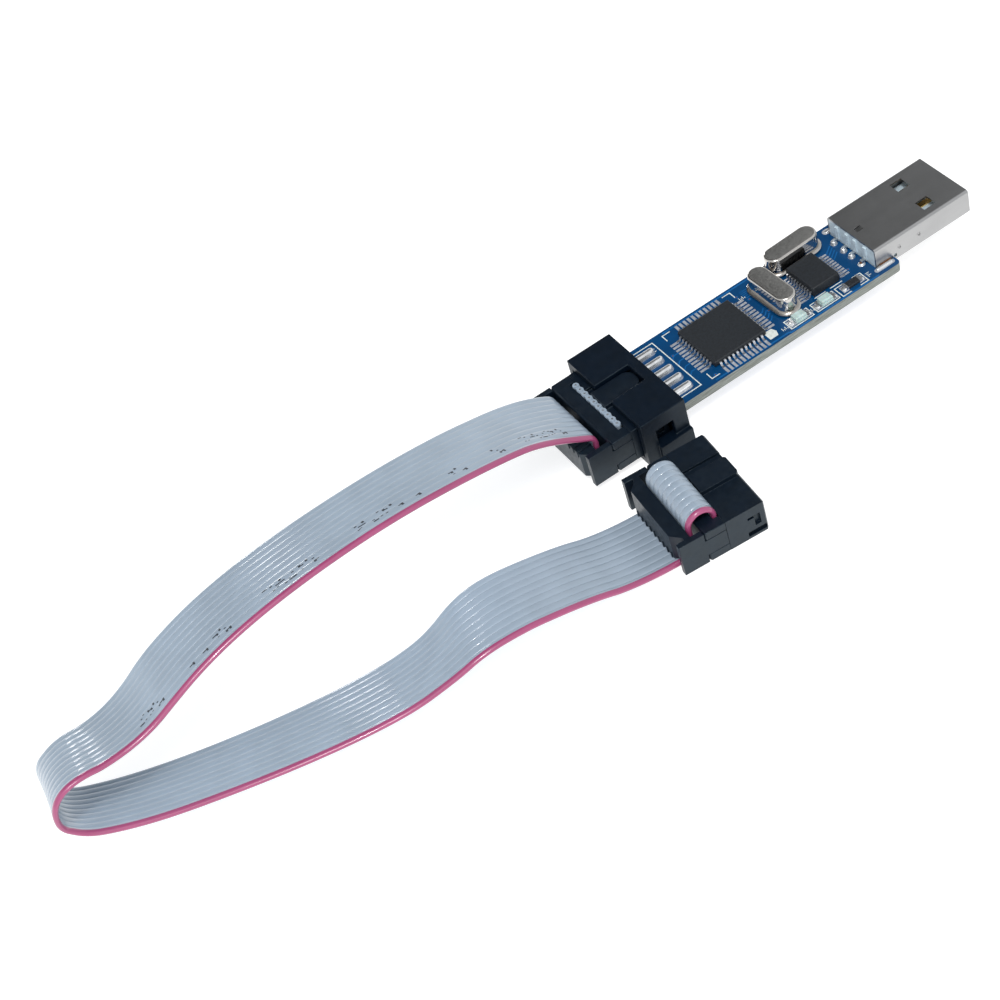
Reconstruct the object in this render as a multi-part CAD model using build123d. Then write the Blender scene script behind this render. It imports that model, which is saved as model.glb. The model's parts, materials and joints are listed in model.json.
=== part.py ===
from build123d import *
from math import cos, radians, sin, tan
import os

# USB microcontroller programmer: a bare circuit board with a USB-A plug at one end, a
# shrouded 2 x 5 header on the other end, and a 10-way ribbon cable with two sockets.
# Millimetres. +X runs along the board towards the USB plug, +Z is up, the board is level.
# The origin is under the middle of the board and the plugged-in socket, at table height.

# ---- circuit board
BOARD_TOP = 5.25
BOARD_THICK = 1.6
BOARD_BOTTOM = BOARD_TOP - BOARD_THICK
BOARD_MID = BOARD_TOP - BOARD_THICK / 2
BOARD_X = (-21.1, 22.7)
BOARD_HALF_WIDTH = 7.75
BOARD_CORNER = 0.8
CONTACT_HOLE = 0.46
CRYSTAL_HOLE = 0.4
CLEAR = 1.0
SEAT = 0.02

# ---- USB-A plug
SHELL_X = (19.2, 38.2)
SHELL_WIDTH = 12.0
SHELL_HEIGHT = 4.5
SHELL_WALL = 0.3
SHELL_EDGE = 0.5
SHELL_SINK = 1.0
SHELL_BOTTOM = BOARD_TOP - SHELL_SINK
SHELL_TOP = SHELL_BOTTOM + SHELL_HEIGHT
WINDOW_SIZE = 2.3
WINDOW_X = 31.85
WINDOW_Y = 3.16
TONGUE_THICK = 1.9
TONGUE_X = 26.0
CONTACT_Y = (-3.5, -1.0, 1.0, 3.5)
CONTACT_PIN_X = 18.2
CONTACT_THICK = 0.25
CONTACT_HALF = 0.5
CONTACT_STEP_X = 21.0
CONTACT_END_OUTER = 37.0
CONTACT_END_INNER = 36.0
TAIL_HALF = 0.3
TAIL_BELOW = 0.9
TONGUE_BACK = 0.6
PLUG_FIT = 0.03
LEG_X = (19.8, 22.0)
LEG_DROP = 0.8
NOTCH_GAP = 0.1
SIDE_NOTCH_X = (22.7, 23.3)
SIDE_NOTCH_Z = (5.1, 5.7)
DIMPLE_X = (23.97, 27.93)
DIMPLE_Z = 6.5
DIMPLE_RADIUS = 0.24
TAB_X = (20.2, 21.5)
TAB_HALF_WIDTH = 0.5
TAB_SLIT = 0.12
TAB_TILT = 11.0
CONTACT_EXIT = 0.45
RIB_DEPTH = 0.3
RIB_HALF = 0.35
PIN_SOLDER_TOP = (0.72, 0.42)
PIN_SOLDER_BOTTOM = (0.8, 0.7)
LEG_SOLDER_NEAR = (20.35, 3.3)
LEG_SOLDER_FAR = (19.9, 1.6)
LEG_SOLDER_WIDTH = 0.7
LEG_SOLDER_HEIGHT = 0.3

# ---- shrouded header
PITCH = 2.54
COLUMNS = [(column - 2) * PITCH for column in range(5)]
ROWS = (BOARD_MID - PITCH / 2, BOARD_MID + PITCH / 2)
PIN = 0.64
HEADER_X = (-29.3, -21.1)
HEADER_HALF_WIDTH = 10.15
HEADER_HEIGHT = 8.9
CAVITY_DEPTH = 6.4
CAVITY_HALF_WIDTH = 8.9
CAVITY_HEIGHT = 6.4
KEYWAY_HALF_WIDTH = 2.25
PIN_TIP_X = -27.8
PIN_TAIL_X = -17.0
HEADER_LEDGE = 0.8
LEDGE_SETBACK = 2.2
LEDGE_HEIGHT = 3.2
SIDE_WINDOW_X = (-4.05, -0.8)
SIDE_WINDOW_TOP = 1.8
PIN_CHAMFER = 0.15
HEADER_SOLDER_WIDTH = 1.5
HEADER_SOLDER_HEIGHT = 0.6
HEADER_SOLDER_OVER = 0.35

# ---- ribbon and its sockets, each socket in its own frame: mating face at x = 0, rear at -x
WAYS = 10
WIRE_PITCH = 1.27
RIBBON_WIDTH = WAYS * WIRE_PITCH
RIBBON_THICK = 0.9
SOCKET_WIDTH = 17.2
SOCKET_THICK = 6.1
SOCKET_LENGTH = 14.45
BODY_DEPTH = 6.6
BODY_CHAMFER = 0.25
COVER_CHAMFER = 0.3
CLAMP_GAP = 1.0
COVER_REAR = 10.2
BAR_FRONT = 12.0
KEY_HALF_WIDTH = 2.0
KEY_HEIGHT = 0.8
KEY_A = (0.58, 1.6)
KEY_B = (-0.1, 0.5)
ARM_THICK = 1.0
TONGUE_HALF = 1.5
CLAMP_X = -BODY_DEPTH - CLAMP_GAP / 2
SLOT_X = -11.4
BAR_RECESS = 1.2
BAR_STEP_X = -13.0
BAR_STEP = 0.5
BAR_TAPER = 2.0
TOOTH_HALF = 0.14
TOOTH_RISE = 0.22
TOOTH_BEHIND = 0.15
TOOTH_TALL = 0.9
GROOVE_Y = (0.1, 1.9)
GROOVE_DEPTH = 0.5
POCKET_FLAT = ((-3.1, -1.0), (0.8, 1.25))
POCKET_TALL = ((-2.0, -1.0), (-0.9, 1.0))
POCKET_LOW = ((-3.4, -0.25), (-2.55, -1.65))
SIDE_POCKET_DEPTH = 0.5
PIN_HOLE = 0.95
CELL_HALF = (0.8, 0.75)
CELL_FRONT = 0.9
BLADE = (0.6, 0.37, 0.57)
BLADE_X = (-1.1, -6.0, -6.58)
FORK_HALF = 0.15
FORK_GAP = 0.2
POST_GAP = 0.4
ARM_FIT = 0.05
SOCKET_A_FACE_X = -23.75
SOCKET_B_PLACE = (-22.88, -24.18, SOCKET_THICK / 2)
SOCKET_B_TURN = -5.4
RIBBON_B_SHIFT = -0.35
FOLD_A_HEIGHT = 0.9
CUT_A_PROUD = 0.15
CUT_B_PROUD = -0.1
SLOT_TURN_B = 1.0
TAIL_B = 2.0
FOLD_B_HEIGHT = (CLAMP_X - SLOT_X) / 2

# ---- free ribbon: it leaves socket A rising, arches, folds under itself and runs back
EXIT_RISE = 33.0
EXIT_ARC = 2.0
EXIT_STRAIGHT = 2.3
RIBBON_LAP = 0.7
RUN_OUT = 0.3
BEND_SLACK = 0.01
FULLNESS = 0.45
ROUTE = [
    (-41.9, 0.0, 12.2),
    (-55, -3, 18),
    (-73, -5.5, 22),
    (-92, -7, 22.5),
    (-106, -8, 20),
    (-118, -9, 14),
    (-130, -9.5, 16),
    (-132, -9.5, 7),
    (-121, -13, 4),
    (-104, -16.5, 2),
    (-88, -20, 2),
    (-77, -22.5, 4),
    (-67, -23.5, 9),
    (-53, -23, 5),
    (-43.4, -22.59, 0.45),
]

PARTS = {}


def block(x, y, z):
    """Box between the low and high limits of x, y and z."""
    middle = [(low + high) / 2 for low, high in (x, y, z)]
    size = [high - low for low, high in (x, y, z)]
    return Pos(*middle) * Box(*size)


def both(low, high):
    """The range from low to high on each side of zero, the negative side first."""
    return ((-high, -low), (low, high))


# ---------------------------------------------------------------- circuit board
def make_board():
    board = block(BOARD_X, (-BOARD_HALF_WIDTH, BOARD_HALF_WIDTH), (BOARD_BOTTOM, BOARD_TOP))
    outer = board.edges().filter_by(Axis.Z).sort_by(Axis.X)[-2:]
    board = fillet(outer, BOARD_CORNER)
    notch_half = SHELL_WIDTH / 2 + NOTCH_GAP
    through = (BOARD_BOTTOM - CLEAR, BOARD_TOP + CLEAR)
    board -= block((SHELL_X[0] - NOTCH_GAP, BOARD_X[1] + CLEAR), (-notch_half, notch_half), through)
    for y in CONTACT_Y:
        board -= Pos(CONTACT_PIN_X, y, BOARD_MID) * Cylinder(CONTACT_HOLE, BOARD_THICK + 2 * CLEAR)
    for x, y in crystal_lead_places():
        board -= Pos(x, y, BOARD_MID) * Cylinder(CRYSTAL_HOLE, BOARD_THICK + 2 * CLEAR)
    return board


# ---------------------------------------------------------------- USB-A plug
def make_shell():
    def tube(half_width, low, high, edge):
        section = block(SHELL_X, (-half_width, half_width), (low, high))
        return fillet(section.edges().filter_by(Axis.X), edge)

    half = SHELL_WIDTH / 2
    shell = tube(half, SHELL_BOTTOM, SHELL_TOP, SHELL_EDGE)
    inner = tube(half - SHELL_WALL, SHELL_BOTTOM + SHELL_WALL, SHELL_TOP - SHELL_WALL, SHELL_EDGE - SHELL_WALL)
    shell -= inner
    for y in (-WINDOW_Y, WINDOW_Y):
        window = Pos(WINDOW_X, y, BOARD_TOP + SHELL_HEIGHT / 2 - SHELL_SINK)
        shell -= window * Box(WINDOW_SIZE, WINDOW_SIZE, SHELL_HEIGHT + 2 * CLEAR)
    for side in both(half - SHELL_WALL, half):
        shell += block(LEG_X, side, (BOARD_BOTTOM - LEG_DROP, SHELL_BOTTOM + SHELL_EDGE))
        shell -= block(SIDE_NOTCH_X, side, SIDE_NOTCH_Z)
    for x in DIMPLE_X:
        shell -= Pos(x, 0, DIMPLE_Z) * Rot(90, 0, 0) * Cylinder(DIMPLE_RADIUS, SHELL_WIDTH + CLEAR)
    top = (SHELL_TOP - SHELL_WALL - CLEAR / 2, SHELL_TOP + CLEAR)
    shell -= block(TAB_X, (-TAB_HALF_WIDTH, TAB_HALF_WIDTH), top)
    length = TAB_X[1] - TAB_X[0] - TAB_SLIT
    width = 2 * (TAB_HALF_WIDTH - TAB_SLIT)
    hinge = Pos(TAB_X[1], 0, SHELL_TOP - SHELL_WALL / 2)
    tab = Box(length, width, SHELL_WALL, align=(Align.MAX, Align.CENTER, Align.CENTER))
    shell += hinge * Rot(0, -TAB_TILT, 0) * tab + hinge * Box(SHELL_WALL / 2, width, SHELL_WALL)
    return shell


def contact_strip(y):
    """One contact: a strip along the tongue, out of the rear and down through the board."""
    outer = abs(y) > 2
    level = SHELL_BOTTOM + SHELL_WALL + TONGUE_THICK
    exit_level = BOARD_TOP + CONTACT_EXIT
    end = CONTACT_END_OUTER if outer else CONTACT_END_INNER
    step_x = (CONTACT_STEP_X, CONTACT_STEP_X + CONTACT_THICK)
    tail_y = (y - TAIL_HALF, y + TAIL_HALF)
    strip = block((CONTACT_STEP_X, end), (y - CONTACT_HALF, y + CONTACT_HALF), (level, level + CONTACT_THICK))
    step = block(step_x, tail_y, (exit_level, level + CONTACT_THICK))
    leg_x = (CONTACT_PIN_X - CONTACT_THICK / 2, CONTACT_PIN_X + CONTACT_THICK / 2)
    tail = block((leg_x[0], step_x[1]), tail_y, (exit_level, exit_level + CONTACT_THICK))
    leg = block(leg_x, tail_y, (BOARD_BOTTOM - TAIL_BELOW, exit_level + CONTACT_THICK))
    return strip + step + tail + leg


def make_contacts():
    return Compound([contact_strip(y) for y in CONTACT_Y])


def make_insulator():
    half = SHELL_WIDTH / 2 - SHELL_WALL - PLUG_FIT
    low = SHELL_BOTTOM + SHELL_WALL + PLUG_FIT
    high = SHELL_TOP - SHELL_WALL - PLUG_FIT
    rear = block((SHELL_X[0], TONGUE_X), (-half, half), (low, high))
    tongue = block((TONGUE_X, SHELL_X[1] - TONGUE_BACK), (-half, half), (low, low + TONGUE_THICK - PLUG_FIT))
    insulator = fillet((rear + tongue).edges().filter_by(Axis.X), RIB_DEPTH)
    for y in CONTACT_Y:
        rib_z = (BOARD_TOP + RIB_DEPTH, high - RIB_DEPTH)
        insulator += block((SHELL_X[0] - RIB_DEPTH, SHELL_X[0]), (y - RIB_HALF, y + RIB_HALF), rib_z)
        insulator -= contact_strip(y)
    under_tab = block((TAB_X[0] - RIB_DEPTH, TAB_X[1] + RIB_DEPTH), (-TAB_HALF_WIDTH, TAB_HALF_WIDTH),
                      (high - CLEAR / 2, high + CLEAR))
    insulator -= under_tab
    return insulator


def solder_cone(x, y, level, up, radius, height):
    """Solder fillet round a leg, standing on a pad at the given level."""
    cone = Cone(radius, radius * 0.45, height, align=(Align.CENTER, Align.CENTER, Align.MIN))
    place = Pos(x, y, level) if up else Pos(x, y, level) * Rot(180, 0, 0)
    return place * cone


def make_usb_solder():
    """Joints of the four contacts, above and below the board, and of the shell's two legs."""
    joints = []
    room_x = (CONTACT_PIN_X - 2 * CLEAR, SHELL_X[0] - RIB_DEPTH - SEAT)
    room = block(room_x, (-SHELL_WIDTH, SHELL_WIDTH), (0, SHELL_TOP))
    for y in CONTACT_Y:
        top = solder_cone(CONTACT_PIN_X, y, BOARD_TOP, True, *PIN_SOLDER_TOP) & room
        bottom = solder_cone(CONTACT_PIN_X, y, BOARD_BOTTOM, False, *PIN_SOLDER_BOTTOM)
        joints += [joint - contact_strip(y) for joint in (top, bottom)]
    for side, (x, length) in ((-1, LEG_SOLDER_NEAR), (1, LEG_SOLDER_FAR)):
        y = side * (SHELL_WIDTH / 2 + SEAT + LEG_SOLDER_WIDTH / 2)
        joint = Pos(x, y, BOARD_TOP + LEG_SOLDER_HEIGHT / 2) * Box(length, LEG_SOLDER_WIDTH, LEG_SOLDER_HEIGHT)
        joints.append(chamfer(joint.faces().sort_by(Axis.Z)[-1].edges(), LEG_SOLDER_HEIGHT / 2))
    return Compound(joints)


# ---------------------------------------------------------------- chips
def chip_body(x_size, y_size, low, high):
    """Moulded package: two shallow tapered halves that meet at the lead frame."""
    middle = (low + high) / 2
    taper = (high - low) / 2 * tan(radians(MOULD_DRAFT))
    plan = Plane.XY.offset(middle) * Rectangle(x_size, y_size)
    top = Plane.XY.offset(high) * Rectangle(x_size - 2 * taper, y_size - 2 * taper)
    bottom = Plane.XY.offset(low) * Rectangle(x_size - 2 * taper, y_size - 2 * taper)
    return loft([plan, top]) + loft([bottom, plan])


def gull_lead(start, reach, width, thick, middle, foot):
    """Gull-wing lead along +X: out of the body, down to the board and out again."""
    half = thick / 2
    knee = start + (reach - foot - start) / 2
    top = block((start, knee + half), (-width / 2, width / 2), (middle - half, middle + half))
    drop = block((knee - half, knee + half), (-width / 2, width / 2), (SEAT, middle + half))
    sole = block((knee - half, reach), (-width / 2, width / 2), (SEAT, SEAT + thick))
    return top + drop + sole


MOULD_DRAFT = 7.0
LEAD_THICK = 0.15
QFP = {"at": (-7.05, -0.1), "size": (10.0, 10.0), "low": 0.1, "high": 1.1, "pitch": 0.8,
       "leads": 11, "turns": (0, 90, 180, 270), "width": 0.37, "reach": 6.0, "foot": 0.6}
SSOP = {"at": (10.8, -0.55), "size": (5.3, 7.1), "low": 0.1, "high": 1.85, "pitch": 0.65,
        "leads": 10, "turns": (0, 180), "width": 0.3, "reach": 4.0, "foot": 0.75}


def make_chip(chip):
    x, y = chip["at"]
    place = Pos(x, y, BOARD_TOP)
    body = place * chip_body(*chip["size"], chip["low"], chip["high"])
    middle = (chip["low"] + chip["high"]) / 2
    leads = []
    for turn in chip["turns"]:
        for number in range(chip["leads"]):
            offset = (number - (chip["leads"] - 1) / 2) * chip["pitch"]
            lead = gull_lead(chip["size"][0] / 2, chip["reach"], chip["width"], LEAD_THICK, middle, chip["foot"])
            leads.append(place * Rot(0, 0, turn) * Pos(0, offset, 0) * lead)
    return body, Compound(leads)


# ---------------------------------------------------------------- crystals
CRYSTALS = {"a": (11.35, 5.55, 2.0), "b": (3.7, 0.5, 92.0)}
CAN_SIZE = (10.0, 3.6)
BASE_SIZE = (11.0, 4.6)
LEAD_PITCH = 4.88
LEAD_RADIUS = 0.21
FLANGE_Z = (0.3, 0.6)
PLUG_TOP = 0.9
CAN_TOP = 3.5
CAN_WALL = 0.25
CAN_ROUND = 0.35
POST_TOP = 1.7
POST_BELOW = 1.0
BLANK_SIZE = (7.0, 1.8, 0.5)


def crystal_lead_places():
    places = []
    for x, y, turn in CRYSTALS.values():
        for side in (-1, 1):
            along = side * LEAD_PITCH / 2
            places.append((x + along * cos(radians(turn)), y + along * sin(radians(turn))))
    return places


def make_crystal(name):
    """Low metal can: pressed base with a flange, hollow can, quartz blank on two posts."""
    x, y, turn = CRYSTALS[name]
    place = Pos(x, y, BOARD_TOP) * Rot(0, 0, turn)

    def slab(size, low, high):
        return extrude(Plane.XY.offset(low) * SlotOverall(*size), high - low)

    inner = tuple(size - 2 * CAN_WALL for size in CAN_SIZE)
    base = slab(BASE_SIZE, *FLANGE_Z) + slab(inner, FLANGE_Z[1], PLUG_TOP)
    can = slab(CAN_SIZE, FLANGE_Z[1], CAN_TOP)
    can = fillet(can.faces().sort_by(Axis.Z)[-1].edges(), CAN_ROUND)
    can -= slab(inner, FLANGE_Z[1], CAN_TOP - CAN_WALL)
    leads = []
    for side in (-1, 1):
        length = POST_TOP + BOARD_THICK + POST_BELOW
        post = Cylinder(LEAD_RADIUS, length, align=(Align.CENTER, Align.CENTER, Align.MAX))
        post = Pos(side * LEAD_PITCH / 2, 0, POST_TOP) * post
        base -= post
        leads.append(post)
    blank = Pos(0, 0, POST_TOP + BLANK_SIZE[2] / 2) * Box(*BLANK_SIZE)
    PARTS[f"crystal_{name}_base"] = place * base
    PARTS[f"crystal_{name}_can"] = place * can
    PARTS[f"crystal_{name}_leads"] = place * Compound(leads)
    PARTS[f"crystal_{name}_blank"] = place * blank


# ---------------------------------------------------------------- small surface parts
CHIP_SIZE = (3.2, 1.6)
TERMINAL = 0.5
LED_A_AT = (3.7, -6.0)
LED_B_AT = (8.9, -6.0)
LED_BASE_TOP = 0.45
LENS_HALF = (1.05, 0.72)
LENS_TOP = 1.1
LENS_CHAMFER = 0.15
RESISTOR_AT = (14.25, -6.0)
RESISTOR_TOP = 0.55
RESISTOR_HALF_WIDTH = 0.65
SMALL_SIZE = (1.6, 0.8)
CAPACITOR_HEIGHT = 0.8
SMALL_RESISTOR_HEIGHT = 0.45
UNDERSIDE_CAPACITORS = [(-12.5, 4.2), (-12.5, -4.2), (-1.8, 4.2), (-1.8, -4.2),
                        (8.0, 1.8), (14.8, 1.8), (0.6, -1.2), (0.6, 2.2)]
UNDERSIDE_RESISTORS = [(6.4, -4.6), (9.4, -4.6), (12.4, -4.6), (15.4, -4.6)]


def chip_terminals(half_width, height):
    """Two metal ends of a small surface part."""
    half = CHIP_SIZE[0] / 2
    return Compound([block(x, (-half_width, half_width), (SEAT, height)) for x in both(half - TERMINAL, half)])


def make_led(name, at):
    place = Pos(*at, BOARD_TOP)
    inner, half_width = CHIP_SIZE[0] / 2 - TERMINAL, CHIP_SIZE[1] / 2
    base = block((-inner, inner), (-half_width, half_width), (SEAT, LED_BASE_TOP))
    x, y = LENS_HALF
    lens = block((-x, x), (-y, y), (LED_BASE_TOP, LENS_TOP))
    lens = chamfer(lens.faces().sort_by(Axis.Z)[-1].edges(), LENS_CHAMFER)
    PARTS[f"led_{name}_body"] = place * (base + lens)
    PARTS[f"led_{name}_terminals"] = place * chip_terminals(half_width, LED_BASE_TOP)


def make_resistor():
    place = Pos(*RESISTOR_AT, BOARD_TOP)
    inner = CHIP_SIZE[0] / 2 - TERMINAL
    half_width = RESISTOR_HALF_WIDTH
    PARTS["resistor_body"] = place * block((-inner, inner), (-half_width, half_width), (SEAT, RESISTOR_TOP))
    PARTS["resistor_terminals"] = place * chip_terminals(half_width, RESISTOR_TOP + SEAT)


def make_underside(places, height):
    """Capacitors or resistors hanging under the board."""
    half_x, half_y = (size / 2 for size in SMALL_SIZE)
    part = block((-half_x, half_x), (-half_y, half_y), (-height, -SEAT))
    return Compound([Pos(x, y, BOARD_BOTTOM) * part for x, y in places])


# ---------------------------------------------------------------- shrouded header
def make_header():
    z = (BOARD_MID - HEADER_HEIGHT / 2, BOARD_MID + HEADER_HEIGHT / 2)
    header = block(HEADER_X, (-HEADER_HALF_WIDTH, HEADER_HALF_WIDTH), z)
    ledge_half = HEADER_HALF_WIDTH + HEADER_LEDGE
    ledge_x = (HEADER_X[0] + LEDGE_SETBACK, HEADER_X[1])
    header += block(ledge_x, (-ledge_half, ledge_half), (z[0], z[0] + LEDGE_HEIGHT))
    floor_x = HEADER_X[0] + CAVITY_DEPTH
    inner = (BOARD_MID - CAVITY_HEIGHT / 2, BOARD_MID + CAVITY_HEIGHT / 2)
    depth = (HEADER_X[0] - CLEAR, floor_x)
    header -= block(depth, (-CAVITY_HALF_WIDTH, CAVITY_HALF_WIDTH), inner)
    header -= block(depth, (-KEYWAY_HALF_WIDTH, KEYWAY_HALF_WIDTH), (BOARD_MID, z[1] + CLEAR))
    window_x = [floor_x + x for x in SIDE_WINDOW_X]
    window_z = (z[0] + LEDGE_HEIGHT, BOARD_MID + SIDE_WINDOW_TOP)
    for side in both(CAVITY_HALF_WIDTH - CLEAR, ledge_half + CLEAR):
        header -= block(window_x, side, window_z)
    for y in COLUMNS:
        for row in ROWS:
            header -= header_pin(y, row)
    return header


def header_pin(y, z):
    pin = block((PIN_TIP_X, PIN_TAIL_X), (y - PIN / 2, y + PIN / 2), (z - PIN / 2, z + PIN / 2))
    return chamfer(pin.faces().sort_by(Axis.X)[0].edges(), PIN_CHAMFER)


def make_header_solder():
    joints = []
    length = PIN_TAIL_X - BOARD_X[0] + HEADER_SOLDER_OVER
    for y in COLUMNS:
        for row, level, up in ((ROWS[1], BOARD_TOP, 1), (ROWS[0], BOARD_BOTTOM, -1)):
            blob = extrude(SlotOverall(length, HEADER_SOLDER_WIDTH), HEADER_SOLDER_HEIGHT)
            blob = chamfer(blob.faces().sort_by(Axis.Z)[-1].edges(), HEADER_SOLDER_HEIGHT / 2)
            blob = Pos(BOARD_X[0] + NOTCH_GAP + length / 2, y, level) * Rot(90 - 90 * up, 0, 0) * blob
            joints.append(blob - header_pin(y, row))
    return Compound(joints)


# ---------------------------------------------------------------- ribbon sockets
def make_socket_body(key_front, key_round):
    half_w, half_t = SOCKET_WIDTH / 2, SOCKET_THICK / 2
    body = block((-BODY_DEPTH, 0), (-half_w, half_w), (-half_t, half_t))
    body = chamfer(body.faces().sort_by(Axis.X)[-1].edges(), BODY_CHAMFER)
    key = block((-BODY_DEPTH, key_front), (-KEY_HALF_WIDTH, KEY_HALF_WIDTH), (half_t, half_t + KEY_HEIGHT))
    body += fillet(key.edges().filter_by(Axis.Z).sort_by(Axis.X)[-2:], key_round)
    groove_y = [KEY_HALF_WIDTH + y for y in GROOVE_Y]
    body -= block((-BODY_DEPTH - CLEAR, CLEAR), groove_y, (half_t - GROOVE_DEPTH, half_t + CLEAR))
    for side in both(half_w - SIDE_POCKET_DEPTH, half_w + CLEAR):
        for x, z in (POCKET_FLAT, POCKET_TALL, POCKET_LOW):
            body -= block(x, side, z)
    cell_y, cell_z = CELL_HALF
    for y in COLUMNS:
        for z in (-PITCH / 2, PITCH / 2):
            body -= Pos(-BODY_DEPTH / 2, y, z) * Box(BODY_DEPTH + 2 * CLEAR, PIN_HOLE, PIN_HOLE)
            cell_x = (-BODY_DEPTH - CLEAR, -CELL_FRONT)
            body -= block(cell_x, (y - cell_y, y + cell_y), (z - cell_z, z + cell_z))
    return body


def socket_contact(y, z):
    """Twin-beam contact with its insulation-piercing fork at the rear."""
    half, gap, outer = BLADE
    front, root, tip = BLADE_X
    blades = block((root, front), (y - half, y + half), (z + gap, z + outer))
    blades += block((root, front), (y - half, y + half), (z - outer, z - gap))
    base = block((root - (outer - gap), root), (y - half, y + half), (z - outer, z + outer))
    fork_z = (z - FORK_HALF, z + FORK_HALF)
    fork = block((tip, root), (y - half, y - FORK_GAP), fork_z)
    fork += block((tip, root), (y + FORK_GAP, y + half), fork_z)
    return blades + base + fork


def make_socket_contacts():
    return Compound([socket_contact(y, z) for y in COLUMNS for z in (-PITCH / 2, PITCH / 2)])


def make_socket_cover():
    half_w, half_t = SOCKET_WIDTH / 2, SOCKET_THICK / 2
    plate_front = -BODY_DEPTH - CLAMP_GAP
    cover = block((-COVER_REAR, plate_front), (-half_w, half_w), (-half_t, half_t))
    cover = chamfer(cover.faces().sort_by(Axis.X)[0].edges(), COVER_CHAMFER)
    for side in both(RIBBON_WIDTH / 2 + POST_GAP, half_w):
        cover += block((plate_front, -BODY_DEPTH), side, (-half_t, half_t))
    for side in both(half_w - ARM_THICK - ARM_FIT, half_w + CLEAR):
        cover -= block((-COVER_REAR - CLEAR, CLEAR), side, (-TONGUE_HALF - ARM_FIT, TONGUE_HALF + ARM_FIT))
    return cover


def make_strain_relief(ribbon_side):
    """Rear bar with two arms; ribbon_side is the side, +1 or -1 in z, that the ribbon leaves on."""
    half_w, half_t = SOCKET_WIDTH / 2, SOCKET_THICK / 2
    inner = half_w - ARM_THICK
    half_plan = [(-BAR_FRONT, inner), (BAR_STEP_X, inner), (BAR_STEP_X, inner - BAR_STEP),
                 (-SOCKET_LENGTH, inner - BAR_TAPER)]
    points = half_plan + [(x, -y) for x, y in reversed(half_plan)]
    plan = make_face(Polyline(*points, close=True))
    relief = extrude(Plane.XY.offset(-half_t) * plan, SOCKET_THICK - BAR_RECESS)
    rear = -COVER_REAR - ARM_FIT
    for side in both(inner, half_w):
        relief += block((-SOCKET_LENGTH, rear), side, (-half_t, half_t))
        relief += block((rear, -BODY_DEPTH - ARM_FIT), side, (-TONGUE_HALF, TONGUE_HALF))
    level = half_t - BAR_RECESS
    for number in range(1, WAYS):
        y = (number - WAYS / 2) * WIRE_PITCH
        tooth = (y - TOOTH_HALF, y + TOOTH_HALF)
        relief += block((-SOCKET_LENGTH, -BAR_FRONT - ARM_FIT), tooth, (level - TOOTH_RISE, level + TOOTH_RISE))
        behind = (-SOCKET_LENGTH - TOOTH_BEHIND, -SOCKET_LENGTH)
        relief += block(behind, tooth, (level - TOOTH_TALL, level + TOOTH_RISE))
    return relief if ribbon_side > 0 else Rot(180, 0, 0) * relief


def swept_ribbon(path, side, shift):
    """Flat ribbon along a path, its width towards side; a parallel wire keeps it from twisting."""
    plane = Plane(origin=path @ 0, x_dir=side, z_dir=path % 0)
    section = plane * Pos(shift, 0) * Rectangle(RIBBON_WIDTH, RIBBON_THICK)
    guide = Pos(*(Vector(*side) * RIBBON_WIDTH)) * path
    return sweep(section, path=path, binormal=Wire(guide.edges()))


def make_fold(fold_side, height, tail, tail_radius, shift, proud):
    """Clamped and folded ribbon of one socket, from its cut ends to the last point of the tail."""
    edge = SOCKET_THICK / 2
    crown = fold_side * (edge + height)
    corners = [(CLAMP_X, -fold_side * (edge + proud)), (CLAMP_X, crown), (SLOT_X, crown)] + tail
    bend = height - BEND_SLACK
    path = FilletPolyline(*[(x, 0, z) for x, z in corners], radius=[bend, bend, tail_radius])
    return swept_ribbon(path, (0, 1, 0), shift)


def rising_tail():
    """Up out of the slot and over the bar in a short arc, rising away from the socket."""
    setback = EXIT_ARC * tan(radians(90 - EXIT_RISE) / 2)
    corner = (SLOT_X, EXIT_STRAIGHT + setback)
    reach = setback + RUN_OUT
    return [corner, (corner[0] - reach * cos(radians(EXIT_RISE)), corner[1] + reach * sin(radians(EXIT_RISE)))]


def level_tail():
    """Down the slot and out under the bar along the table."""
    level = (RIBBON_THICK - SOCKET_THICK) / 2
    return [(SLOT_X, level), (SLOT_X - TAIL_B, level)]


def make_socket(name, place, fold_side, fold, key_front, key_round):
    PARTS[f"socket_{name}_body"] = place * make_socket_body(key_front, key_round)
    PARTS[f"socket_{name}_contacts"] = place * make_socket_contacts()
    PARTS[f"socket_{name}_cover"] = place * make_socket_cover()
    PARTS[f"socket_{name}_strain_relief"] = place * make_strain_relief(-fold_side)
    PARTS[f"ribbon_fold_{name}"] = place * fold


def make_ribbon(start, end):
    """Free ribbon: straight runs joined by tangent arcs, its width level and across the board."""
    points = [Vector(*point) for point in [start, *ROUTE, end]]
    radii = []
    for before, here, after in zip(points, points[1:], points[2:]):
        run_in, run_out = here - before, after - here
        turn = run_in.get_angle(run_out)
        radii.append(FULLNESS * min(run_in.length, run_out.length) / tan(radians(turn) / 2))
    print("ribbon radii:", [round(radius, 1) for radius in radii])
    path = FilletPolyline(*points, radius=radii)
    ribbon = swept_ribbon(path, (0, 1, 0), 0)
    area = RIBBON_WIDTH * RIBBON_THICK
    print(f"ribbon length {path.length:.1f}, volume {ribbon.volume:.0f} against {area * path.length:.0f}")
    return ribbon


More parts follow.
